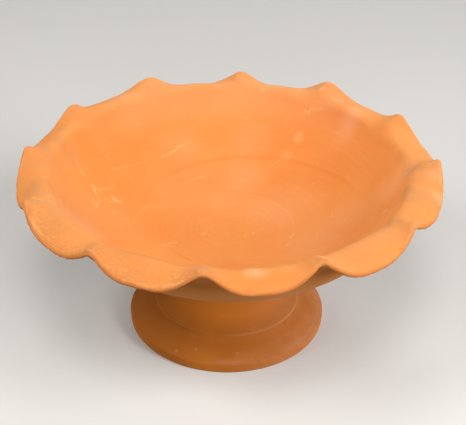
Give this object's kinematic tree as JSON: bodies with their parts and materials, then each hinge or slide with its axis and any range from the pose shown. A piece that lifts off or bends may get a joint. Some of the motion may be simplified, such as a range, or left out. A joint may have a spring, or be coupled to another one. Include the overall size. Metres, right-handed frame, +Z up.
{
  "type": "footed fruit bowl",
  "caption": "Wide terracotta fruit bowl with a hand-pinched scalloped rim on a hollow flared pedestal foot.",
  "frame": {"origin": "middle of the standing ring, on the surface that the bowl stands on", "axes": "+Z up along the bowl's turning axis, and +Y away from the side that the picture was taken from"},
  "size_m": [0.2974, 0.2969, 0.139],
  "materials": {
    "dish_terracotta": "unglazed, matt, wheel thrown",
    "pedestal_terracotta": "unglazed, matt, wheel thrown",
    "slip_clay": "unglazed, matt",
    "coil_terracotta": "unglazed, matt, finger smoothed"
  },
  "bodies": {
    "root": {"dish": "dish_terracotta", "pedestal": "pedestal_terracotta", "slip_layer": "slip_clay", "seam_coil": "coil_terracotta"}
  },
  "joints": []
}
